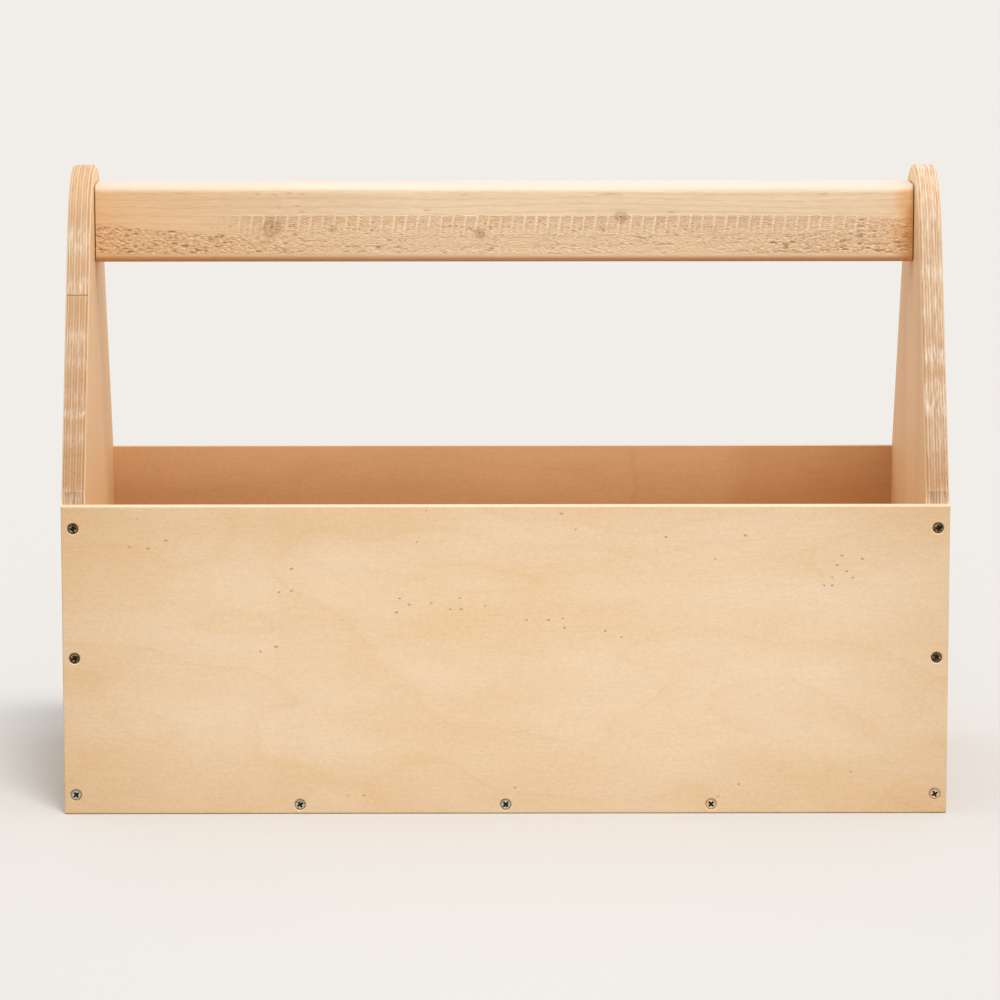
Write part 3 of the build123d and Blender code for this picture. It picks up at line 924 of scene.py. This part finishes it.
class TOTE_OT_screws(bpy.types.Operator):
    """Builds the countersunk cross-recess screws, each turned and sunk its own way"""

    bl_idname = "tote.screws"
    bl_label = "Screws"

    def execute(self, context):
        finishes = [
            # The tan finish is a painted reflection of the wood; the last three are painted shade in
            # recesses and rims.
            zinc("zinc_darkened", srgb("#9A8257"), 0.34, 0.95),
            zinc("zinc_plated", srgb("#C9C2AC"), 0.36, 0.45),
            zinc("zinc_wood_reflection", srgb("#E3CBA8"), 0.36, 0.2),
            recess_shade("recess_painted_shade"),
            zinc("zinc_rim_shade", srgb("#86806A"), 0.5, 0.5),
            zinc("zinc_rim_warm_shade", srgb("#BC8B58"), 0.5, 0.3),
        ]
        form, masters = context.scene.tote_screw, {}
        for node in sorted(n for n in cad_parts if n.endswith("_screws")):
            shape = bmesh.new()
            for number, (low, high) in enumerate(loose_boxes(node)):
                turn, sunk, finish = self.driving(node, number)
                length = round(max(high - low) / MM)
                if length not in masters:
                    masters[length] = self.screw(form, length * MM)
                self.drive(shape, masters[length], low, high, turn, sunk * MM, finish)
            piece = place_piece(node + "_zinc", shape, "zinc_screws", *finishes)
            piece.data.set_sharp_from_angle(angle=math.radians(35))
            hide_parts(node)
        return {"FINISHED"}

    def driving(self, node, number):
        """Turn, sink and finish of one screw; those not seen in front follow the same habits."""
        if node in DRIVEN:
            return DRIVEN[node][number]
        turn = 90 * noise.random()
        if node.startswith("back") and "bottom" not in node and number > 0:
            return turn, 0.5, DARKENED
        return turn, 0.2, PLATED

    def drive(self, shape, master, low, high, turn, sunk, finish):
        """Adds one screw to a shape, its head at the end that is farther out."""
        size = high - low
        axis = max(range(3), key=lambda k: size[k])
        outward = Vector((0.0, 0.0, 0.0))
        outward[axis] = -1.0 if abs(low[axis]) > abs(high[axis]) else 1.0
        place = (low + high) / 2
        place[axis] = (low if outward[axis] < 0 else high)[axis]
        turned = Matrix.Rotation(math.radians(turn), 4, "Z")
        aimed = outward.to_track_quat("Z", "Y").to_matrix().to_4x4()
        copy = bmesh.new()
        copy.from_mesh(master)
        # Painted shade: each head's inner ring, black on the darkened heads, greyer on the plated and
        # warm on the tan ones.
        rim = {DARKENED: RECESS_SHADE, PLATED: SHADED_RIM, WOOD_REFLECTING: WARM_SHADED_RIM}[finish]
        for face in copy.faces:
            face.material_index = (finish, RECESS_SHADE, rim)[face.material_index]
        bmesh.ops.transform(
            copy, verts=copy.verts,
            matrix=Matrix.Translation(place + outward * (HEAD_SINK - sunk)) @ aimed @ turned)
        mesh = bpy.data.meshes.new("screw_copy")
        copy.to_mesh(mesh)
        copy.free()
        shape.from_mesh(mesh)
        bpy.data.meshes.remove(mesh)

    def screw(self, form, length):
        """The mesh of a screw of this length, its flat head's top at the origin, pointing up."""
        radius, neck = form.head / 2, form.shank / 2
        # The head's bright lip, the ring inside it that is painted in shade, and the blunt tip of the
        # point.
        lip, shade_ring, tip = 0.12 * MM, 0.6 * MM, 0.2 * MM
        body = bmesh.new()
        ring = bmesh.ops.create_circle(body, cap_ends=True, radius=radius, segments=40)["verts"]
        top = ring[0].link_faces[0]
        bmesh.ops.inset_region(body, faces=[top], thickness=lip, use_boundary=True)
        ring = bmesh.ops.inset_region(body, faces=[top], thickness=shade_ring, use_boundary=True)
        # This ring is painted in shade, where the countersink shades the head.
        for face in ring["faces"]:
            face.material_index = 2
        rim = [e for e in body.edges if e.is_boundary]
        for drop, width in (
                (lip, radius), (radius - neck, neck), (length - 2 * neck, neck), (length, tip)):
            grown = bmesh.ops.extrude_edge_only(body, edges=rim)["geom"]
            verts = [g for g in grown if isinstance(g, bmesh.types.BMVert)]
            for vert in verts:
                flat = Vector((vert.co.x, vert.co.y, 0.0)).normalized() * width
                vert.co = (flat.x, flat.y, -drop)
            rim = [g for g in grown if isinstance(g, bmesh.types.BMEdge)]
        bmesh.ops.contextual_create(body, geom=rim)
        bmesh.ops.recalc_face_normals(body, faces=body.faces)
        return self.recessed(body, form)

    def recessed(self, body, form):
        """Cuts the tapered cross recess into the head."""
        # What is left of the recess's span and of its arms' width at its floor.
        span_left, arm_left = 0.5, 0.7
        cutter = bmesh.new()
        for quarter in (0, 1):
            bar = bmesh.ops.create_cube(cutter, size=1.0)["verts"]
            size = (form.recess, form.recess_arm, 2 * form.recess_depth)
            bmesh.ops.scale(cutter, vec=size, verts=bar)
            for vert in bar:
                if vert.co.z < 0:
                    vert.co.x *= span_left
                    vert.co.y *= arm_left
            bmesh.ops.rotate(cutter, verts=bar, matrix=Matrix.Rotation(quarter * math.pi / 2, 3, "Z"))
        for face in cutter.faces:
            face.material_index = 1
        solid = as_object("screw_body", body, [None] * 3)
        hollow = as_object("recess_cutter", cutter, [None] * 3)
        cut = solid.modifiers.new("recess", "BOOLEAN")
        cut.object = hollow
        cut.operation = "DIFFERENCE"
        cut.solver = "EXACT"
        cut.use_self = True
        bpy.context.view_layer.update()
        ready = solid.evaluated_get(bpy.context.evaluated_depsgraph_get())
        mesh = bpy.data.meshes.new_from_object(ready)
        for item in (solid, hollow):
            bpy.data.objects.remove(item)
        return mesh


class TOTE_OT_stage(bpy.types.Operator):
    """Builds the floor, the lamps and the camera"""

    bl_idname = "tote.stage"
    bl_label = "Stage"

    def execute(self, context):
        look = context.scene.tote_stage
        self.floor(look)
        self.sky(context, look)
        self.lamps(context, look)
        self.camera(context, look)
        context.scene.view_settings.view_transform = "Standard"
        return {"FINISHED"}

    def floor(self, look):
        """A wide plain floor, paler to the camera than to the tote."""
        shape = bmesh.new()
        bmesh.ops.create_grid(shape, x_segments=1, y_segments=1, size=FLOOR_REACH)
        material, tree, shader = matt_shader("matt_floor_paint", 0.9)
        rays = add(tree, "LightPath")
        seen = add(tree, "Math", {
            0: rays.outputs["Is Camera Ray"], 1: rays.outputs["Is Glossy Ray"]},
            operation="MAXIMUM")
        colour = add(tree, "Mix", {"Factor": seen, "A": look.bounce_colour, "B": look.floor_colour})
        tree.links.new(colour.outputs[2], shader.inputs["Base Color"])
        as_object("studio_floor", shape, [material])

    def sky(self, context, look):
        """Even white light from all round."""
        world = bpy.data.worlds.new("studio")
        context.scene.world = world
        world.use_nodes = True
        background = world.node_tree.nodes["Background"]
        background.inputs["Strength"].default_value = look.sky
        background.inputs["Color"].default_value = (1.0, 1.0, 1.0, 1.0)

    def lamps(self, context, look):
        """A broad key from high on the right, and a soft spot in front."""
        key = bpy.data.lights.new("key_lamp", "SUN")
        key.energy = look.sun_strength
        key.angle = look.sun_softness
        towards = Vector((
            math.sin(look.sun_side) * math.cos(look.sun_height),
            -math.cos(look.sun_side) * math.cos(look.sun_height), math.sin(look.sun_height)))
        self.hang(context, key, towards)
        fill = bpy.data.lights.new("fill_lamp", "SPOT")
        fill.shadow_soft_size = FILL_RADIUS
        fill.spot_size = look.fill_spread
        fill.spot_blend = 1.0
        fill.energy = look.fill_power
        fill_lamp = self.hang(context, fill, Vector(FILL_PLACE) - Vector(FILL_AIM))
        fill_lamp.location = FILL_PLACE

    def hang(self, context, lamp, back):
        """Hangs a lamp with its back turned this way."""
        hung = bpy.data.objects.new(lamp.name, lamp)
        hung.rotation_euler = back.to_track_quat("Z", "Y").to_euler()
        context.collection.objects.link(hung)
        return hung

    def camera(self, context, look):
        """The camera, at the photograph's place and angle."""
        data = bpy.data.cameras.new("camera")
        data.sensor_width = 36.0
        data.lens = look.lens
        camera = bpy.data.objects.new("camera", data)
        camera.location = look.camera_place
        camera.rotation_euler = (math.pi / 2 - look.camera_down, 0.0, -look.camera_turn)
        context.collection.objects.link(camera)
        context.scene.camera = camera


class TOTE_PT_panel(bpy.types.Panel):
    """Lists the steps that dress the tote"""

    bl_idname = "TOTE_PT_panel"
    bl_label = "Tool tote"
    bl_space_type = "VIEW_3D"
    bl_region_type = "UI"
    bl_category = "Tote"

    def draw(self, context):
        for kind in OPERATORS:
            self.layout.operator(kind.bl_idname)


GROUPS = {
    "tote_stage": StageLook, "tote_wood": WoodLook, "tote_rail": RailShape,
    "tote_screw": ScrewShape,
}
OPERATORS = (
    TOTE_OT_gable_ends, TOTE_OT_panels, TOTE_OT_pin_knots, TOTE_OT_rail, TOTE_OT_screws,
    TOTE_OT_stage,
)


def register():
    for kind in (*GROUPS.values(), *OPERATORS, TOTE_PT_panel):
        bpy.utils.register_class(kind)
    for name, kind in GROUPS.items():
        setattr(bpy.types.Scene, name, bpy.props.PointerProperty(type=kind))


def unregister():
    for name in GROUPS:
        delattr(bpy.types.Scene, name)
    for kind in (TOTE_PT_panel, *reversed(OPERATORS), *GROUPS.values()):
        bpy.utils.unregister_class(kind)


def main():
    register()
    noise.seed_set(SEED)
    bpy.ops.tote.gable_ends()
    bpy.ops.tote.panels()
    bpy.ops.tote.pin_knots()
    bpy.ops.tote.rail()
    bpy.ops.tote.screws()
    bpy.ops.tote.stage()


if __name__ == "__main__":
    main()
